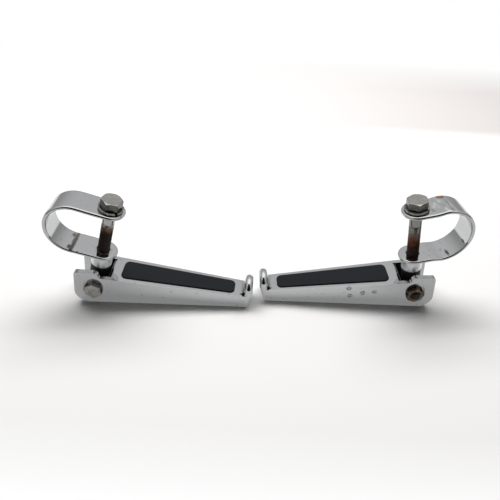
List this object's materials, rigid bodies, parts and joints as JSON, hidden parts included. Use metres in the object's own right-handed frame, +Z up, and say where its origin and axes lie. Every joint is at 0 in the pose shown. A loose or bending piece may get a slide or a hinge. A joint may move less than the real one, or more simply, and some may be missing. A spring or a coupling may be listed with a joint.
{
  "type": "folding highway pegs",
  "caption": "Matching folding motorcycle foot pegs: chromed wedge bodies with rubber pads, clevis hinges and swivelling bar clamps with loose bolts.",
  "frame": {"origin": "centre of the pair's outline seen from above, on the floor the pegs lie on", "axes": "+X from the left peg's clamp to the right peg's clamp, +Y away from the viewer, +Z up"},
  "size_m": [0.3274, 0.0486, 0.0976],
  "materials": {
    "chrome_plate": "chrome plate, lightly scratched and pitted",
    "plated_block": "chrome plate",
    "plated_strap": "chrome plate, stained, dented at one bend, rust specks",
    "bolt_steel": "dull plated steel, grimy",
    "rusted_bolt": "dull plated steel, shank brown with rust",
    "black_rubber": "smooth matt rubber"
  },
  "bodies": {
    "pegs": {"left_peg_body": "chrome_plate", "left_rubber_pad": "black_rubber", "left_pivot_bolt": "bolt_steel", "left_pivot_nut": "bolt_steel", "left_head_side_washer": "bolt_steel", "left_nut_side_washer": "bolt_steel", "right_peg_body": "chrome_plate", "right_rubber_pad": "black_rubber", "right_pivot_bolt": "bolt_steel", "right_pivot_nut": "bolt_steel", "right_head_side_washer": "bolt_steel", "right_nut_side_washer": "bolt_steel"},
    "left_mount": {"left_mount_block": "plated_block", "left_clamp_bolt": "rusted_bolt", "left_lock_washer": "bolt_steel"},
    "right_mount": {"right_mount_block": "plated_block", "right_clamp_bolt": "rusted_bolt", "right_lock_washer": "bolt_steel"},
    "left_clamp": {"left_clamp_strap": "plated_strap"},
    "right_clamp": {"right_clamp_strap": "plated_strap"}
  },
  "joints": [
    {"name": "left_fold", "type": "hinge", "parent": "pegs", "child": "left_mount", "pos_m": [-0.13246, -0.00659, 0.0133], "axis": [0.0262, 0.9997, 0], "range_deg": [-105.6, 2.9]},
    {"name": "right_fold", "type": "hinge", "parent": "pegs", "child": "right_mount", "pos_m": [0.12794, 0.00641, 0.0133], "axis": [0.061, -0.9981, 0], "range_deg": [-99.6, 8.9]},
    {"name": "left_swivel", "type": "hinge", "parent": "left_mount", "child": "left_clamp", "pos_m": [-0.11902, -0.00695, 0.06146], "axis": [0.2688, -0.007, 0.9632], "continuous": true},
    {"name": "right_swivel", "type": "hinge", "parent": "right_mount", "child": "right_clamp", "pos_m": [0.11961, 0.0059, 0.0626], "axis": [-0.1665, -0.0102, 0.986], "continuous": true}
  ]
}
